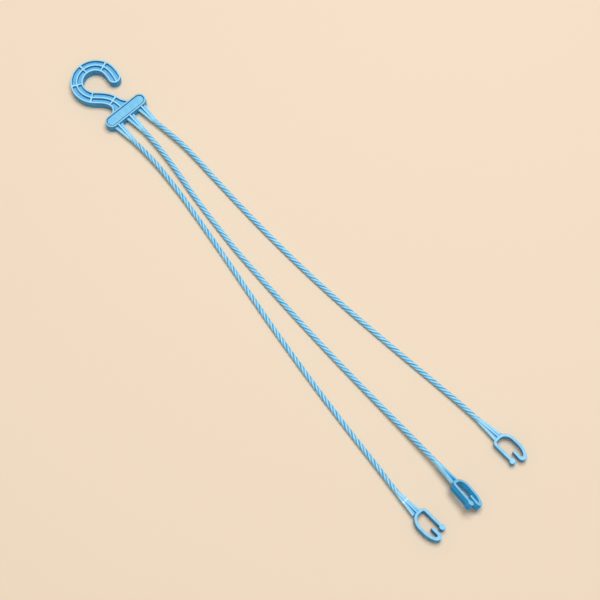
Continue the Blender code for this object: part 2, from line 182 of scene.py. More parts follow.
# The rope twist moulded on the strands: its ridges, the length of one turn, the depth of its
# grooves as a share of the radius, and how much shallower every second groove is.
ROPE_LOBES = 4
ROPE_LAY = 17.46
ROPE_DEPTH = 0.30
ROPE_UNEVEN = 0.17
ROPE_POWER = 0.8
ROPE_HAND = {"left": -1, "middle": 1, "right": 1}

# How far a strand's twist takes to fade in and out, how far the strand is tucked into its root,
# and how far it laps its neck.
ROPE_FADE_IN = 5.0
ROPE_FADE_OUT = 6.0
ROPE_TUCK = 2.5
ROPE_LAP = 0.2

# Edges of the moulding: their rounding, the draft of the walls as a slope, and the parting line.
EDGE = 0.38
DRAFT = 0.026
FLASH = 0.05
PARTING_HALF = 0.12
MOUTH_LIP = 0.22
POCKET_FILLET = 0.3
POCKET_DRAFT = 0.05
PLATE_LIP = 0.25
PLATE_FILLET = 0.15
PANEL_EDGE = 0.25

# A narrow flat beside a rounded edge, which keeps the edge's shading off the face.
FLAT_LEAD = 0.08
POCKET_LEAD = 0.06

# How finely the curves are cut.
SHARP_ANGLE = math.radians(38)
ARM_STEPS = 18
RING_STEP = 2
STEM_STEPS = 72
OUTLINE_STEP = 0.5
ROPE_STEP = 0.5
ROPE_SIDES = 28
CORD_STEP = 2.0
TAPER_STEPS = 40
CORE_STEPS = 16
CORE_SIDES = 24
NOSE_STEPS = 36
SHOULDER_STEPS = 18
ARCH_STEPS = 40
HEEL_STEPS = 20
PRONG_STEPS = 12
TIP_STEPS = 18
BEAD_STEPS = 44
LATCH_STEPS = 30
MERGE = 0.000002

# How light the plastic is drawn, from 0 in deep corners to 1 in a white mark: painted shade
# in corners, fillets, on walls, pocket floors and the panel, painted light on faces, and a
# painted highlight on edges.
CORNER_SHADE_TONE = 0.10
WALL_SHADE_TONE = 0.20
FILLET_SHADE_TONE = 0.25
PARTING_TONE = 0.35
POCKET_FLOOR_SHADE_TONE = 0.47
PANEL_SHADE_TONE = 0.58
LIT_FACE_TONE = 0.66
EDGE_HIGHLIGHT_TONE = 0.82

# How much painted shade darkens the rope's grooves, how much of a taper its painted crease shade
# takes up, and how fast the tone rises with each millimetre away from a crease.
GROOVE_SHADE_DEPTH = 0.75
GROOVE_POWER = 0.7
CREASE_REACH = 0.75
CREASE_RISE = 0.34

# A white mark across the left clip's neck, by its way from the neck's wide end.
MARK_PLACE = 11.2
MARK_RISE = 0.36
MARK_WIDTH = 0.55

# The camera, in metres, where the photograph was taken from.
CAMERA_SPOT = (-0.2552, -0.4681, 0.9772)
CAMERA_TARGET = (-0.0055, -0.1987, 0.0)
CAMERA_UP = (0.680, 0.733, 0.0)
CAMERA_LENS = 87
CAMERA_SENSOR = 36


# ---------------------------------------------------------------- camera

def add_camera():
    """A camera that looks down on the hanger as the photograph does."""
    spot = Vector(CAMERA_SPOT)
    back = (spot - Vector(CAMERA_TARGET)).normalized()
    right = Vector(CAMERA_UP).cross(back).normalized()
    up = back.cross(right)
    turn = Matrix((right, up, back)).transposed().to_4x4()
    data = bpy.data.cameras.new("camera")
    data.lens = CAMERA_LENS
    data.sensor_width = CAMERA_SENSOR
    data.clip_start = 0.01
    camera = bpy.data.objects.new("camera", data)
    camera.matrix_world = Matrix.Translation(spot) @ turn
    bpy.context.scene.collection.objects.link(camera)
    bpy.context.scene.camera = camera


add_camera()


# ---------------------------------------------------------------- paths and outlines

class Track:
    """A path of points that can be read at any distance along it."""

    def __init__(self, points):
        self.points = points
        self.marks = [0.0]
        for here, there in zip(points, points[1:]):
            self.marks.append(self.marks[-1] + (there - here).length)
        self.length = self.marks[-1]

    def span(self, distance):
        """The stretch that a distance falls in, and its share of that stretch."""
        low, high = 0, len(self.points) - 2
        while low < high:
            middle = (low + high) // 2
            if self.marks[middle + 1] < distance:
                low = middle + 1
            else:
                high = middle
        size = self.marks[low + 1] - self.marks[low]
        return low, (distance - self.marks[low]) / size

    def knot_heading(self, index):
        """The heading at one of the path's own points."""
        before = self.points[max(index - 1, 0)]
        after = self.points[min(index + 1, len(self.points) - 1)]
        return (after - before).normalized()

    def at(self, distance):
        """The point at a distance along the path."""
        index, share = self.span(distance)
        return self.points[index].lerp(self.points[index + 1], share)

    def heading(self, distance):
        """The direction of the path at a distance along it."""
        index, share = self.span(distance)
        return self.knot_heading(index).lerp(self.knot_heading(index + 1), share).normalized()

    def beside(self, distance, aside):
        """The point beside a flat path, to its left."""
        ahead = self.heading(distance)
        return self.at(distance) + Vector((-ahead.y, ahead.x)) * aside


def arc(centre, reach_x, reach_y, start, stop, steps):
    """Points on a stretch of an ellipse."""
    points = []
    for step in range(steps + 1):
        angle = start + (stop - start) * step / steps
        points.append(centre + Vector((reach_x * math.cos(angle), reach_y * math.sin(angle))))
    return points


def evenly(first, last, step):
    """Evenly spaced distances from first to last, at most a step apart."""
    count = max(1, math.ceil(abs(last - first) / step))
    return [first + (last - first) * k / count for k in range(count + 1)]


def smooth_curve(points, fineness=12):
    """Points on a smooth curve that passes through every given point."""
    ends = [points[0] * 2 - points[1]] + points + [points[-1] * 2 - points[-2]]
    curve = []
    for a, b, c, d in zip(ends, ends[1:], ends[2:], ends[3:]):
        for step in range(fineness):
            t = step / fineness
            bow = (a * 2 - b * 5 + c * 4 - d) * t * t + (b * 3 - a - c * 3 + d) * t * t * t
            curve.append((b * 2 + (c - a) * t + bow) / 2)
    curve.append(points[-1])
    return curve


def strand_track(side):
    """A strand's way from its root to its clip, in millimetres."""
    first = Vector((SIDES[side] * STRAND_SPACING, -PLATE_WIDTH / 2 - 2 * GAP - ROOT_LENGTH,
                    PLATE_THICKNESS / 2))
    return Track(smooth_curve([first] + [Vector(spot) / MM for spot in ROUTES[side]]))


def turned_left(points):
    """The loop, ordered anticlockwise."""
    area = sum(a.x * b.y - b.x * a.y for a, b in zip(points, points[1:] + points[:1]))
    return points if area > 0 else points[::-1]


def corner_turns(points, limit=math.radians(35)):
    """How far the loop turns at each of its sharp corners, by the corner's index."""
    turns = {}
    for i, corner in enumerate(points):
        turn = (corner - points[i - 1]).angle(points[(i + 1) % len(points)] - corner)
        if turn > limit:
            turns[i] = turn
    return turns


def corner_arc(start, corner, end, turn, steps=8):
    """A circular arc that touches both sides of a corner, drawn as a weighted curve."""
    points = []
    for k in range(steps + 1):
        t = k / steps
        pull = 2 * math.cos(turn / 2) * t * (1 - t)
        weight = (1 - t) ** 2 + pull + t * t
        points.append((start * (1 - t) ** 2 + corner * pull + end * t * t) / weight)
    return points


def round_corners(points, radius, clear=0.05):
    """The loop with each sharp corner replaced by a small circular arc."""
    marks = Track(points + points[:1]).marks
    turns = corner_turns(points)
    cuts = {i: radius * math.tan(turn / 2) for i, turn in turns.items()}
    result = []
    for i, spot in enumerate(points):
        if i in cuts:
            start = walk(points, i, -1, cuts[i])
            end = walk(points, i, 1, cuts[i])
            result += corner_arc(start, spot, end, turns[i])
            continue
        gaps = {j: abs(marks[i] - marks[j]) for j in cuts}
        if all(min(gap, marks[-1] - gap) > cuts[j] + clear for j, gap in gaps.items()):
            result.append(spot)
    return result


def walk(points, index, way, distance):
    """The point a distance along the loop from one of its points."""
    here = points[index]
    while True:
        index = (index + way) % len(points)
        there = points[index]
        size = (there - here).length
        if size >= distance:
            return here.lerp(there, distance / size)
        distance -= size
        here = there


def moved_in(points, inset, seam=None):
    """An anticlockwise loop moved inwards. The two seam points only slide along their edge."""
    count = len(points)
    result = []
    for i, here in enumerate(points):
        a = (here - points[i - 1]).normalized()
        b = (points[(i + 1) % count] - here).normalized()
        if seam and i in seam:
            other = points[seam[1] if i == seam[0] else seam[0]]
            result.append(here + (other - here).normalized() * inset)
            continue
        normal = Vector((-a.y - b.y, a.x + b.x)).normalized()
        share = max(0.5, normal.dot(Vector((-a.y, a.x))))
        result.append(here + normal * (inset / share))
    return result


# ---------------------------------------------------------------- meshes

def set_tones(data, tones):
    """Store the tone at each point of a mesh: its painted shade and highlight, and any white
    mark.
    """
    layer = data.attributes.get("tone") or data.attributes.new("tone", 'FLOAT', 'POINT')
    layer.data.foreach_set("value", tones)


class Shell:
    """Collects the points, tones and faces of a closed mesh, in millimetres."""

    def __init__(self):
        self.points = []
        self.tones = []
        self.faces = []

    def ring(self, spots, tones):
        """Add points, and return their indices."""
        start = len(self.points)
        self.points.extend(spots)
        self.tones.extend(tones)
        return list(range(start, start + len(spots)))

    def level(self, loop, inset, z, tone, seam=None):
        """Add the loop at a height, moved in."""
        spots = [Vector((p.x, p.y, z)) for p in moved_in(loop, inset, seam)]
        return self.ring(spots, [tone] * len(spots))

    def bridge(self, one, other):
        """Join two rings with faces."""
        count = len(one)
        for i in range(count):
            j = (i + 1) % count
            self.faces.append((one[i], one[j], other[j], other[i]))

    def wall(self, loop, levels, seam=None):
        """Rings down a wall, each an inset, a height and a tone. Returns the first and last."""
        rings = [self.level(loop, inset, z, tone, seam) for inset, z, tone in levels]
        for one, other in zip(rings, rings[1:]):
            self.bridge(one, other)
        return rings[0], rings[-1]

    def tube(self, rings):
        """Join rings in a row, and close the first and the last."""
        for one, other in zip(rings, rings[1:]):
            self.bridge(one, other)
        self.faces.append(tuple(rings[0]))
        self.faces.append(tuple(reversed(rings[-1])))

    def fill(self, rings):
        """A flat face inside the first ring and outside the others."""
        loops = [[self.points[i] for i in ring] for ring in rings]
        flat = [i for ring in rings for i in ring]
        for triangle in tessellate_polygon(loops):
            self.faces.append(tuple(flat[k] for k in triangle))

    def mesh(self, name, matrix=None):
        """The mesh in metres, with the doubled points along its seams merged."""
        data = bpy.data.meshes.new(name)
        data.from_pydata([tuple(p * MM) for p in self.points], [], self.faces)
        set_tones(data, self.tones)
        shape = bmesh.new()
        shape.from_mesh(data)
        bmesh.ops.remove_doubles(shape, verts=shape.verts, dist=MERGE)
        bmesh.ops.dissolve_degenerate(shape, edges=shape.edges, dist=MERGE / 2)
        bmesh.ops.recalc_face_normals(shape, faces=shape.faces)
        shape.to_mesh(data)
        shape.free()
        if matrix:
            data.transform(matrix)
        data.shade_smooth()
        data.set_sharp_from_angle(angle=SHARP_ANGLE)
        return data


def quarter_round(radius, steps=3):
    """Insets and drops of a rounded edge, from its flat face to its side."""
    points = []
    for k in range(steps + 1):
        angle = math.pi / 2 * (1 - k / steps)
        points.append((radius * (1 - math.cos(angle)), radius * (1 - math.sin(angle))))
    return points


def side_levels(half, edge=EDGE, flash=FLASH, face=LIT_FACE_TONE):
    """Levels down a moulded side wall, with draft and a fine parting line."""
    top = [(edge + FLAT_LEAD + half * DRAFT, half, face)]
    # The face carries painted light, the rounded edge a painted highlight and the wall painted
    # shade.
    tones = (face, EDGE_HIGHLIGHT_TONE, EDGE_HIGHLIGHT_TONE, WALL_SHADE_TONE)
    for (inset, drop), tone in zip(quarter_round(edge), tones):
        top.append((inset + (half - drop) * DRAFT, half - drop, tone))
    top.append((PARTING_HALF * DRAFT, PARTING_HALF, WALL_SHADE_TONE))
    top.append((-flash, FLASH, PARTING_TONE))
    return top + mirrored(top)


def mirrored(levels):
    """The same levels on the underside, from the middle plane down."""
    return [(inset, -z, tone) for inset, z, tone in reversed(levels)]


def slab(name, outline, half, matrix=None, seam=None, edge=EDGE, flash=FLASH):
    """A flat plate of the outline with rounded edges, its middle plane at z = 0."""
    shell = Shell()
    top, bottom = shell.wall(outline, side_levels(half, edge, flash), seam)
    shell.fill([top])
    shell.fill([bottom])
    return shell.mesh(name, matrix)


def pocket_levels(top, floor, lip=MOUTH_LIP, fillet=POCKET_FILLET, face=LIT_FACE_TONE):
    """Levels from the face round a pocket down its wall to its floor."""
    # The face and the mouth's edge carry painted light and highlight; the wall, corner, fillet
    # and floor carry painted shade.
    levels = [(-lip - POCKET_LEAD, top, face)]
    for (inset, drop), tone in zip(quarter_round(lip), (face, EDGE_HIGHLIGHT_TONE, EDGE_HIGHLIGHT_TONE, WALL_SHADE_TONE)):
        levels.append((-inset, top - drop, tone))
    draft = (top - floor) * POCKET_DRAFT
    tones = (CORNER_SHADE_TONE, CORNER_SHADE_TONE, CORNER_SHADE_TONE, FILLET_SHADE_TONE)
    for (inset, drop), tone in zip(reversed(quarter_round(fillet)), tones):
        levels.append((draft + inset, floor + drop, tone))
    levels.append((draft + fillet + POCKET_LEAD, floor, POCKET_FLOOR_SHADE_TONE))
    return levels


# ---------------------------------------------------------------- materials

# The plastic's colour at each tone: low tones are painted shade, high tones painted light and
# highlight, and 1 the white mark.
TONES = [
    (0.00, (0.008, 0.190, 0.400)),
    (0.30, (0.032, 0.360, 0.690)),
    (0.55, (0.158, 0.520, 0.805)),
    (0.85, (0.350, 0.725, 0.945)),
    (1.00, (0.700, 0.880, 0.970)),
]

# The middle share of a noise, which is spread over the range that it drives.
NOISE_LOW = 0.3
NOISE_HIGH = 0.7

# How far clouds move the tone, how far scuffs move the roughness, and the grain of the mould.
CLOUDS = 0.09
POLISH = 0.07
SCUFFS = 0.10
GRAIN = 0.06
GRAIN_DEPTH = 0.2
PLASTIC_IOR = 1.49


def add_ramp(tree, stops):
    """A colour ramp with the given stops, each a place and a colour."""
    ramp = tree.nodes.new("ShaderNodeValToRGB")
    ramp.color_ramp.elements[0].position = stops[0][0]
    ramp.color_ramp.elements[0].color = (*stops[0][1], 1)
    ramp.color_ramp.elements[1].position = stops[-1][0]
    ramp.color_ramp.elements[1].color = (*stops[-1][1], 1)
    for place, colour in stops[1:-1]:
        stop = ramp.color_ramp.elements.new(place)
        stop.color = (*colour, 1)
    return ramp


def add_noise(tree, scale, detail, rough, stretch=(1, 1, 1)):
    """A noise in the object's own space."""
    spot = tree.nodes.new("ShaderNodeTexCoord")
    place = tree.nodes.new("ShaderNodeMapping")
    place.inputs["Scale"].default_value = stretch
    noise = tree.nodes.new("ShaderNodeTexNoise")
    noise.inputs["Scale"].default_value = scale
    noise.inputs["Detail"].default_value = detail
    noise.inputs["Roughness"].default_value = rough
    tree.links.new(spot.outputs["Object"], place.inputs["Vector"])
    tree.links.new(place.outputs["Vector"], noise.inputs["Vector"])
    return noise


def add_spread(tree, noise, low, high):
    """The noise, spread from low to high."""
    spread = tree.nodes.new("ShaderNodeMapRange")
    spread.inputs["From Min"].default_value = NOISE_LOW
    spread.inputs["From Max"].default_value = NOISE_HIGH
    spread.inputs["To Min"].default_value = low
    spread.inputs["To Max"].default_value = high
    tree.links.new(noise.outputs["Fac"], spread.inputs["Value"])
    return spread


def add_colour(tree, shader, lift):
    """The stored tone, which holds painted shade and highlight, lifted and made cloudy, drives
    the colour.
    """
    stored = tree.nodes.new("ShaderNodeAttribute")
    stored.attribute_name = "tone"
    clouds = add_noise(tree, scale=220, detail=6, rough=0.7)
    drift = add_spread(tree, clouds, lift - CLOUDS, lift + CLOUDS)
    tone = tree.nodes.new("ShaderNodeMath")
    ramp = add_ramp(tree, TONES)
    tree.links.new(stored.outputs["Fac"], tone.inputs[0])
    tree.links.new(drift.outputs["Result"], tone.inputs[1])
    tree.links.new(tone.outputs["Value"], ramp.inputs["Fac"])
    tree.links.new(ramp.outputs["Color"], shader.inputs["Base Color"])


def add_scuffs(tree, shader, gloss):
    """Long faint scuffs in the gloss."""
    wipes = add_noise(tree, scale=260, detail=5, rough=0.65, stretch=(1, 0.25, 1))
    spread = add_spread(tree, wipes, gloss - POLISH, gloss + SCUFFS)
    tree.links.new(spread.outputs["Result"], shader.inputs["Roughness"])


def add_grain(tree, shader):
    """The fine grain of the mould."""
    bump = tree.nodes.new("ShaderNodeBump")
    bump.inputs["Strength"].default_value = GRAIN
    bump.inputs["Distance"].default_value = GRAIN_DEPTH * MM
    fine = add_noise(tree, scale=2600, detail=3, rough=0.6)
    tree.links.new(fine.outputs["Fac"], bump.inputs["Height"])
    tree.links.new(bump.outputs["Normal"], shader.inputs["Normal"])


def plastic(name, lift=0.0, gloss=0.36):
    """Satin moulded polypropylene: painted shade in its corners, painted highlight on its edges,
    cloudy and scuffed.
    """
    material = bpy.data.materials.new(name)
    material.use_nodes = True
    tree = material.node_tree
    shader = tree.nodes["Principled BSDF"]
    shader.inputs["IOR"].default_value = PLASTIC_IOR
    add_colour(tree, shader, lift)
    add_scuffs(tree, shader, gloss)
    add_grain(tree, shader)
    return material


body_plastic = plastic("body_plastic")
clip_plastic = plastic("clip_plastic", lift=-0.06)
strand_plastic = plastic("strand_plastic", lift=0.08, gloss=0.32)


def show(name, data, material):
    """Add a piece to the scene."""
    data.materials.clear()
    data.materials.append(material)
    piece = bpy.data.objects.new(name, data)
    bpy.context.scene.collection.objects.link(piece)
    return piece


# ---------------------------------------------------------------- strands

def twist_share(track, distance):
    """How much of the rope twist there is: it fades out towards both ends."""
    if distance < ROPE_FADE_IN:
        return max(0.0, distance / ROPE_FADE_IN)
    return min(1.0, max(0.0, (track.length - distance) / ROPE_FADE_OUT))


def groove_share(phase):
    """0 on a ridge and 1 in the deepest groove, where a ridge and a groove take a full turn."""
    groove = 1 - abs(math.sin(phase / 2)) ** ROPE_POWER
    return groove * (1 - ROPE_UNEVEN + ROPE_UNEVEN * math.cos(phase / 2))


def rope_mesh(name, track, hand, first, last):
    """A tube along the track whose points follow the rope twist."""
    shell = Shell()
    across = Vector((0, 0, 1))
    rings = []
    for s in evenly(first, last, ROPE_STEP):
        ahead = track.heading(max(s, 0))
        centre = track.at(s) if s > 0 else track.points[0] + ahead * s
        across = (across - ahead * across.dot(ahead)).normalized()
        beside = ahead.cross(across)
        fade = twist_share(track, s)
        spots = []
        tones = []
        for k in range(ROPE_SIDES):
            turn = 2 * math.pi * k / ROPE_SIDES
            angle = turn - hand * 2 * math.pi * s / ROPE_LAY
            groove = groove_share(ROPE_LOBES * turn)
            reach = STRAND_DIAMETER / 2 * (1 - ROPE_DEPTH * fade * groove)
            spots.append(centre + (across * math.cos(angle) + beside * math.sin(angle)) * reach)
            # Painted highlight on the rope's ridges and painted shade in its grooves, fading with
            # the twist.
            change = EDGE_HIGHLIGHT_TONE - LIT_FACE_TONE - GROOVE_SHADE_DEPTH * groove ** GROOVE_POWER
            tones.append(LIT_FACE_TONE + fade * change)
        rings.append(shell.ring(spots, tones))
    shell.tube(rings)
    return shell.mesh(name)


def add_strand(side):
    """A strand in two pieces, which meet past the middle of the stretch that bends."""
    track = strand_track(side)
    hand = ROPE_HAND[side]
    near = rope_mesh("strand_start_" + side, track, hand, -ROPE_TUCK, STRAND_SEAM)
    start = show("strand_start_" + side, near, strand_plastic)
    far = rope_mesh("strand_rope_" + side, track, hand, STRAND_SEAM, track.length + ROPE_LAP)
    rope = show("strand_rope_" + side, far, strand_plastic)
    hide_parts("strand_bend_" + side)
    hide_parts("strand_" + side)
    return track, start, rope


strands = {side: add_strand(side) for side in SIDES}


# ---------------------------------------------------------------- tapers

def taper_outline(length, wide, narrow, lead):
    """A taper along -Y that runs out into the strand's own width."""
    right = [Vector((wide / 2, lead))] if lead else []
    for k in range(TAPER_STEPS + 1):
        share = k / TAPER_STEPS
        half = (narrow + (wide - narrow) * (1 - share) ** TAPER_POWER) / 2
        run_out = max(0.0, (share - RUN_OUT) / (1 - RUN_OUT)) ** 2
        half += (STRAND_DIAMETER * TIP_SHARE - half) * run_out
        right.append(Vector((half, -length * share)))
    left = [Vector((-spot.x, spot.y)) for spot in reversed(right)]
    return turned_left(right + left)


def core_mesh(thin, thick, length):
    """A round core along -Y, which grows to its full thickness where the taper runs out."""
    shell = Shell()
    rings = []
    for k in range(CORE_STEPS + 1):
        share = k / CORE_STEPS
        radius = (thin + (thick - thin) * min(1.0, share / RUN_OUT) ** CORE_POWER) / 2
        ring = []
        for step in range(CORE_SIDES):
            angle = 2 * math.pi * step / CORE_SIDES
            ring.append(Vector((radius * math.cos(angle), -length * share,
                                radius * math.sin(angle))))
        rings.append(shell.ring(ring, [LIT_FACE_TONE] * CORE_SIDES))
    shell.tube(rings)
    return shell.mesh("core")


def joined(name, meshes):
    """One closed mesh from overlapping ones."""
    base = bpy.data.objects.new(name, meshes[0])
    bpy.context.scene.collection.objects.link(base)
    extras = []
    for extra in meshes[1:]:
        other = bpy.data.objects.new(name + "_extra", extra)
        bpy.context.scene.collection.objects.link(other)
        change = base.modifiers.new("join", 'BOOLEAN')
        change.operation = 'UNION'
        change.solver = 'EXACT'
        change.object = other
        extras.append(other)
    bpy.context.view_layer.update()
    seen = base.evaluated_get(bpy.context.evaluated_depsgraph_get())
    mesh = bpy.data.meshes.new_from_object(seen)
    mesh.name = name
    for item in extras + [base]:
        bpy.data.objects.remove(item, do_unlink=True)
    mesh.shade_smooth()
    mesh.set_sharp_from_angle(angle=SHARP_ANGLE)
    return mesh


def taper_tone(spot, length, mark):
    """Painted shade where the wings meet the ridge, painted highlight towards the edges, white at
    the mark.
    """
    away = math.hypot(max(abs(spot.x) - RIDGE_THICKNESS / 2, 0),
                      max(abs(spot.z) - WING_THICKNESS / 2, 0))
    share = min(1.0, max(0.0, -spot.y / length / CREASE_REACH))
    low = CORNER_SHADE_TONE + (LIT_FACE_TONE - CORNER_SHADE_TONE) * share
    tone = min(EDGE_HIGHLIGHT_TONE, low + CREASE_RISE * away)
    if mark:
        tone += MARK_RISE * math.exp(-((spot.y + mark) / MARK_WIDTH) ** 2)
    return tone


def taper_mesh(name, length, wide, tall, lead=0.0, mark=None):
    """Flat wings, an upright ridge and the strand's round core."""
    wings = slab("wings", taper_outline(length, wide, WING_END_WIDTH, lead), WING_THICKNESS / 2,
                 edge=WING_EDGE, flash=0.0)
    ridge = slab("ridge", taper_outline(length, tall, STRAND_DIAMETER, lead),
                 RIDGE_THICKNESS / 2, Matrix.Rotation(math.pi / 2, 4, 'Y'),
                 edge=RIDGE_EDGE, flash=0.0)
    core = core_mesh(RIDGE_THICKNESS, STRAND_DIAMETER * CORE_SHARE, length)
    data = joined(name, [wings, ridge, core])
    set_tones(data, [taper_tone(point.co / MM, length, mark) for point in data.vertices])
    return data


def add_root(side):
    """The taper between the plate and a strand."""
    data = taper_mesh("root_" + side, ROOT_LENGTH + 2 * GAP + ROOT_SINK, ROOT_WIDTH,
                      ROOT_RIDGE_HEIGHT, ROOT_LEAD)
    top = Vector((SIDES[side] * STRAND_SPACING, -PLATE_WIDTH / 2 + ROOT_SINK,
                  PLATE_THICKNESS / 2))
    data.transform(Matrix.Translation(top * MM))
    piece = show("root_" + side, data, body_plastic)
    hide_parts("strand_root_" + side)
    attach(piece, "hanger")


for side in SIDES:
    add_root(side)


# ---------------------------------------------------------------- plate

def stadium(length, width, steps=28):
    """A bar's outline with round ends."""
    radius = width / 2
    middle = Vector((length / 2 - radius, 0))
    right = arc(middle, radius, radius, -math.pi / 2, math.pi / 2, steps)
    left = arc(-middle, radius, radius, math.pi / 2, 3 * math.pi / 2, steps)
    return right + left


def groove_levels(half):
    """Levels down into the plate's groove and up again to its panel."""
    floor = half - PLATE_GROOVE_DEPTH
    panel_top = half - PLATE_PANEL_DROP
    levels = pocket_levels(half, floor, PLATE_LIP, PLATE_FILLET)
    # The groove and its walls carry painted shade, the panel's edge a painted highlight and the
    # panel a lighter painted shade.
    levels[-1] = (levels[-1][0], floor, CORNER_SHADE_TONE)
    for before, rise, tone in ((0.12, 0.04, CORNER_SHADE_TONE), (0.06, 0.16, WALL_SHADE_TONE)):
        levels.append((PLATE_GROOVE - before, floor + rise, tone))
    tones = (WALL_SHADE_TONE, EDGE_HIGHLIGHT_TONE, EDGE_HIGHLIGHT_TONE, PANEL_SHADE_TONE)
    for (inset, drop), tone in zip(reversed(quarter_round(PANEL_EDGE)), tones):
        levels.append((PLATE_GROOVE + inset, panel_top - drop, tone))
    levels.append((PLATE_GROOVE + PANEL_EDGE + FLAT_LEAD, panel_top, PANEL_SHADE_TONE))
    return levels


def add_plate():
    """The plate, with a rim, a groove and a panel on its face."""
    shell = Shell()
    half = PLATE_THICKNESS / 2
    top, bottom = shell.wall(stadium(PLATE_LENGTH, PLATE_WIDTH), side_levels(half))
    inner = stadium(PLATE_LENGTH - 2 * PLATE_RIM, PLATE_WIDTH - 2 * PLATE_RIM)
    shell.fill([bottom])
    mouth, panel = shell.wall(inner, groove_levels(half))
    shell.fill([top, mouth])
    shell.fill([panel])
    data = shell.mesh("plate_body", Matrix.Translation((0, 0, half * MM)))
    piece = show("plate_body", data, body_plastic)
    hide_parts("plate")
    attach(piece, "hanger")


add_plate()


# ---------------------------------------------------------------- hook

def hook_track():
    """The hook's middle line: up the free arm, round the ring and down the stem."""
    centre = Vector((HOOK_CENTRE_X, PLATE_WIDTH / 2 + HOOK_CENTRE_RISE))
    sweep = math.radians(HOOK_SWEEP)
    arm_centre = centre + Vector((HOOK_REACH_X - HOOK_ARM_RADIUS, 0))
    arm = arc(arm_centre, HOOK_ARM_RADIUS, HOOK_ARM_RADIUS, -HOOK_ARM / HOOK_ARM_RADIUS, 0,
              ARM_STEPS)
    upper = arc(centre, HOOK_REACH_X, HOOK_REACH_Y, 0, math.pi, 180 // RING_STEP)
    lower = arc(centre, HOOK_REACH_X, HOOK_LOWER_REACH, math.pi, sweep,
                (HOOK_SWEEP - 180) // RING_STEP)
    ring = arm + upper[1:] + lower[1:]
    foot = Vector((HOOK_FOOT_X, PLATE_WIDTH / 2 - HOOK_CURVE_END))
    leave = Vector((-HOOK_REACH_X * math.sin(sweep), HOOK_LOWER_REACH * math.cos(sweep)))
    first = ring[-1] + leave.normalized() * HOOK_STEM_LEAD
    second = foot + Vector((0, HOOK_STEM_LEAD))
    stem = []
    for k in range(1, STEM_STEPS + 1):
        t = k / STEM_STEPS
        near = ring[-1] * (1 - t) ** 3 + first * 3 * t * (1 - t) ** 2
        stem.append(near + second * 3 * t * t * (1 - t) + foot * t ** 3)
    stem.append(foot - Vector((0, HOOK_SINK - GAP - HOOK_CURVE_END)))
    return Track(ring + stem)


def ring_mark(track, angle):
    """How far along the hook an angle of its ring lies."""
    place = ARM_STEPS + angle / RING_STEP
    index = int(place)
    return track.marks[index] + (track.marks[index + 1] - track.marks[index]) * (place - index)


def flare_share(track, distance):
    """0 above the hook's flare and 1 where it meets the plate."""
    return max(0.0, 1 - (track.length - HOOK_SINK - distance) / HOOK_FLARE_LENGTH)


def hook_half(track, distance):
    """Half the hook's width, which flares towards the plate."""
    share = min(1.0, flare_share(track, distance))
    return HOOK_BAND / 2 + HOOK_FLARE * share ** HOOK_FLARE_POWER


def channel_reach(track, distance):
    """How far a channel reaches from the middle line, with a rim of one width beside it."""
    share = flare_share(track, distance)
    slant = share ** (HOOK_FLARE_POWER - 1) * HOOK_FLARE * HOOK_FLARE_POWER / HOOK_FLARE_LENGTH
    rim = HOOK_RIM * math.hypot(1, slant)
    return HOOK_BAND / 2 + HOOK_FLARE * share ** HOOK_FLARE_POWER - rim


def hook_outline(track):
    """The hook's outline, with a round nose at its free end."""
    steps = evenly(0, track.length, OUTLINE_STEP)
    outer = [track.beside(s, -hook_half(track, s)) for s in steps]
    inner = [track.beside(s, hook_half(track, s)) for s in reversed(steps)]
    radius = HOOK_BAND / 2
    ahead = track.heading(0)
    turn = math.atan2(ahead.y, ahead.x) + math.pi / 2
    nose = arc(track.at(0), radius, radius, turn, turn + math.pi, NOSE_STEPS)
    return turned_left(outer + inner + nose[1:-1])


def channel_nose(track, side, near, steps=14, back_steps=8):
    """The round end of a channel in the hook's nose, and its way back along the middle rib."""
    radius = HOOK_BAND / 2 - HOOK_RIM
    turn = math.acos(near / radius)
    ahead = track.heading(0)
    aside = Vector((-ahead.y, ahead.x)) * side
    nose = []
    for k in range(1, steps + 1):
        angle = turn * k / steps
        nose.append(track.at(0) + (aside * math.cos(angle) - ahead * math.sin(angle)) * radius)
    back = [nose[-1].lerp(track.beside(0, side * near), k / back_steps)
            for k in range(1, back_steps)]
    return nose + back


def channel_outline(track, side, first, last):
    """A channel on one side of the hook's middle rib."""
    near = HOOK_RIB / 2
    steps = evenly(first, last, OUTLINE_STEP)
    inner = [track.beside(s, side * near) for s in steps]
    outer = [track.beside(s, side * channel_reach(track, s)) for s in steps]
    nose = channel_nose(track, side, near) if first <= 0 else []
    return round_corners(turned_left(inner + outer[::-1] + nose), CHANNEL_CORNER)


def channel_outlines(track):
    """The channels between the hook's cross ribs, in pairs."""
    stops = [0.0]
    for angle in HOOK_RIB_ANGLES:
        stops.append(ring_mark(track, angle))
    stops.append(track.length - HOOK_SINK - HOOK_STEM_RIB_RISE)
    stops.append(track.length - CHANNEL_STOP + HOOK_RIB / 2)
    outlines = []
    for low, high in zip(stops, stops[1:]):
        first = low + HOOK_RIB / 2 if low else 0.0
        for side in (1, -1):
            outlines.append(channel_outline(track, side, first, high - HOOK_RIB / 2))
    return outlines


def add_hook():
    """The hook, with the same channels on both faces."""
    track = hook_track()
    half = HOOK_THICKNESS / 2
    shell = Shell()
    # The hook's faces and the mouths of its channels are painted at the highlight's tone.
    top, bottom = shell.wall(hook_outline(track), side_levels(half, face=EDGE_HIGHLIGHT_TONE))
    levels = pocket_levels(half, HOOK_WEB / 2, face=EDGE_HIGHLIGHT_TONE)
    upper = []
    lower = []
    for outline in channel_outlines(track):
        mouth, floor = shell.wall(outline, levels)
        upper.append(mouth)
        shell.fill([floor])
        mouth, floor = shell.wall(outline, mirrored(levels)[::-1])
        lower.append(mouth)
        shell.fill([floor])
    shell.fill([top] + upper)
    shell.fill([bottom] + lower)
    data = shell.mesh("hook_body", Matrix.Translation((0, 0, PLATE_THICKNESS / 2 * MM)))
    piece = show("hook_body", data, body_plastic)
    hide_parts("hook")
    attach(piece, "hanger")


add_hook()


# ---------------------------------------------------------------- clips

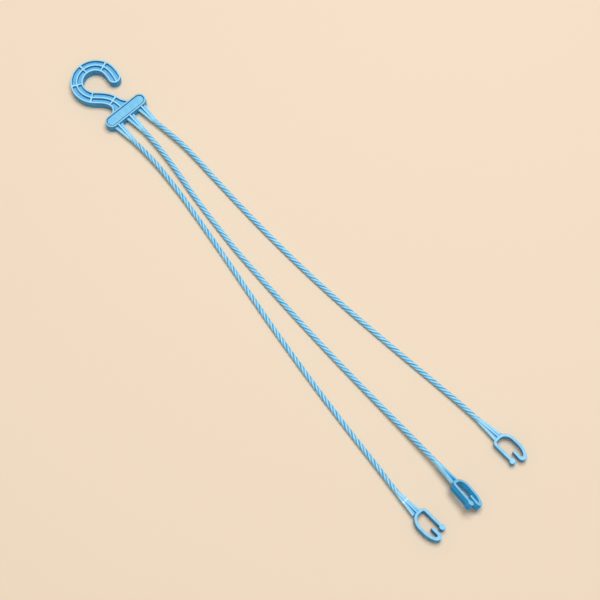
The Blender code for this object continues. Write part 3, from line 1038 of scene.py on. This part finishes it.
def clip_frame_track():
    """The frame's middle line: shoulder, brow, chin, heel and prong."""
    bottom = -CLIP_REACH
    quarter = math.pi / 2
    shoulder = arc(Vector((LATCH_X + CLIP_SHOULDER, -CLIP_SHOULDER)),
                   CLIP_SHOULDER, CLIP_SHOULDER, 2 * quarter, quarter, SHOULDER_STEPS)
    brow_width = CLIP_ARM_X - CLIP_PRONG_X / 2
    brow = arc(Vector((CLIP_ARM_X - brow_width, -CLIP_BROW)),
               brow_width, CLIP_BROW, quarter, 0, ARCH_STEPS)
    lowest = CLIP_PRONG_X + CLIP_HEEL_WIDTH
    chin = arc(Vector((lowest, bottom + CLIP_CHIN)), CLIP_ARM_X - lowest, CLIP_CHIN,
               0, -quarter, ARCH_STEPS)
    heel = arc(Vector((lowest, bottom + CLIP_HEEL)), CLIP_HEEL_WIDTH, CLIP_HEEL,
               -quarter, -2 * quarter, HEEL_STEPS)
    tip = Vector((CLIP_PRONG_X, bottom + CLIP_PRONG_LENGTH))
    prong = [heel[-1].lerp(tip, k / PRONG_STEPS) for k in range(1, PRONG_STEPS + 1)]
    return Track(shoulder + brow + chin + heel[1:] + prong)


def clip_frame_mesh(name, matrix):
    """The frame, which swells a little at its lowest point."""
    track = clip_frame_track()
    half = CLIP_BAND / 2
    heights = [spot.y for spot in track.points]
    lowest = track.marks[heights.index(min(heights))]
    outer = []
    for s in track.marks:
        share = max(0.0, 1 - abs(s - lowest) / CLIP_HEEL_SPREAD)
        outer.append(track.beside(s, half + CLIP_HEEL_SWELL * share ** 2))
    inner = [track.beside(s, -half) for s in track.marks]
    end = arc(track.points[-1], half, half, math.pi, 0, TIP_STEPS)
    outline = turned_left(outer + end[1:-1] + inner[::-1])
    return slab(name, outline, CLIP_THICKNESS / 2, matrix, seam=(0, len(outline) - 1))


def latch_mesh(name, matrix):
    """The springy arm, from its seam with the frame down to its round end."""
    half = CLIP_BAND / 2
    radius = LATCH_BEAD / 2
    open_angle = math.asin(half / radius)
    bead = arc(Vector((0, -LATCH_LENGTH)), radius, radius, math.pi / 2 + open_angle,
               5 * math.pi / 2 - open_angle, BEAD_STEPS)
    reach = bead[0].y
    side = [Vector((-half, GAP + (reach - GAP) * k / LATCH_STEPS)) for k in range(LATCH_STEPS)]
    other = [Vector((-spot.x, spot.y)) for spot in reversed(side)]
    outline = turned_left(side + bead + other)
    return slab(name, outline, CLIP_THICKNESS / 2, matrix, seam=(0, len(outline) - 1))


def clip_axle(side):
    """Where a clip's neck starts and how it lies, with -Y along the neck."""
    track = strands[side][0]
    heading, roll, _ = CLIP_LIE[side]
    turn = Matrix.Rotation(math.radians(heading), 4, 'Z')
    turn = turn @ Matrix.Rotation(math.radians(roll), 4, 'Y')
    ahead = turn.to_3x3() @ Vector((0, -1, 0))
    return Matrix.Translation((track.at(track.length) + ahead * GAP) * MM) @ turn


def neck_mesh(side, axle):
    """The taper between a strand and its clip."""
    mark = MARK_PLACE if side == "left" else None
    data = taper_mesh("neck_" + side, NECK_LENGTH + NECK_LAP + NECK_SINK, NECK_WIDTH,
                      CLIP_THICKNESS, mark=mark)
    foot = Matrix.Translation((0, -(NECK_LENGTH + NECK_SINK) * MM, 0))
    data.transform(axle @ foot @ Matrix.Rotation(math.pi, 4, 'Z'))
    return data


def add_clip(side):
    """A clip in three pieces: neck, frame and latch arm."""
    axle = clip_axle(side)
    top = NECK_LENGTH + GAP + CLIP_BAND / 2
    cant = math.radians(CLIP_LIE[side][2])
    tilt = axle @ Matrix.Translation((0, -top * MM, 0)) @ Matrix.Rotation(cant, 4, 'Z')
    body = "clip_" + side
    neck = show("neck_" + side, neck_mesh(side, axle), clip_plastic)
    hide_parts("clip_neck_" + side)
    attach(neck, body)
    frame_piece = show("clip_" + side, clip_frame_mesh("clip_" + side, tilt), clip_plastic)
    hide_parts("clip_frame_" + side)
    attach(frame_piece, body)
    root = tilt @ Matrix.Translation((LATCH_X * MM, (-CLIP_SHOULDER - GAP) * MM, 0))
    arm = show("latch_" + side, latch_mesh("latch_" + side, root), clip_plastic)
    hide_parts("latch_arm_" + side)
    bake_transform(arm)
    return neck, frame_piece, arm


def ride_strand(side, neck, frame_piece, arm):
    track, start, rope = strands[side]
    track.at(0) * MM
    track.at(START_BENDS_TO) * MM
    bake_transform(start)
    track.at(ROPE_BENDS_FROM) * MM
    track.at(ROPE_BENDS_TO) * MM
    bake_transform(rope)
    stretch = evenly(STRAND_SEAM, track.length, CORD_STEP)
    path = [tuple(track.at(s) * MM) for s in stretch]


for side in SIDES:
    ride_strand(side, *add_clip(side))


# ---------------------------------------------------------------- floor, light

FLOOR_COLOUR = (0.86, 0.70, 0.535, 1)
FLOOR_REACH = 4
FLOOR_DROP = 0.1
WORLD_LIGHT = 0.32
WORLD_SEEN = (0.90, 0.86, 0.80, 1)


def add_floor():
    """A plain pale floor, just under the plate's flat back."""
    material = bpy.data.materials.new("floor")
    material.use_nodes = True
    tree = material.node_tree
    shader = tree.nodes["Principled BSDF"]
    shader.inputs["Base Color"].default_value = FLOOR_COLOUR
    shader.inputs["Roughness"].default_value = 0.95
    shader.inputs["Specular IOR Level"].default_value = 0.1
    shape = bmesh.new()
    bmesh.ops.create_grid(shape, x_segments=1, y_segments=1, size=FLOOR_REACH)
    data = bpy.data.meshes.new("floor")
    shape.to_mesh(data)
    shape.free()
    data.materials.append(material)
    floor = bpy.data.objects.new("floor", data)
    floor.location.z = -FLOOR_DROP * MM
    bpy.context.scene.collection.objects.link(floor)


def add_lamp(name, spot, target, size, power):
    """A round soft lamp that shines on its target."""
    data = bpy.data.lights.new(name, 'AREA')
    data.shape = 'DISK'
    data.size = size
    data.energy = power
    lamp = bpy.data.objects.new(name, data)
    lamp.location = spot
    way = Vector(target) - Vector(spot)
    lamp.rotation_euler = way.to_track_quat('-Z', 'Y').to_euler()
    bpy.context.scene.collection.objects.link(lamp)


def add_world():
    """Even white light from all round, and a pale surround behind the floor."""
    world = bpy.data.worlds.new("world")
    bpy.context.scene.world = world
    world.use_nodes = True
    tree = world.node_tree
    light = tree.nodes["Background"]
    light.inputs["Color"].default_value = (1.0, 1.0, 1.0, 1)
    light.inputs["Strength"].default_value = WORLD_LIGHT
    seen = tree.nodes.new("ShaderNodeBackground")
    seen.inputs["Color"].default_value = WORLD_SEEN
    seen.inputs["Strength"].default_value = 1.0
    path = tree.nodes.new("ShaderNodeLightPath")
    pick = tree.nodes.new("ShaderNodeMixShader")
    tree.links.new(path.outputs["Is Camera Ray"], pick.inputs[0])
    tree.links.new(light.outputs["Background"], pick.inputs[1])
    tree.links.new(seen.outputs["Background"], pick.inputs[2])
    tree.links.new(pick.outputs["Shader"], tree.nodes["World Output"].inputs["Surface"])


add_floor()
add_lamp("key", spot=(0.36, -0.04, 2.1), target=(0, -0.17, 0), size=1.4, power=37)
add_world()
bpy.context.scene.view_settings.view_transform = 'Standard'
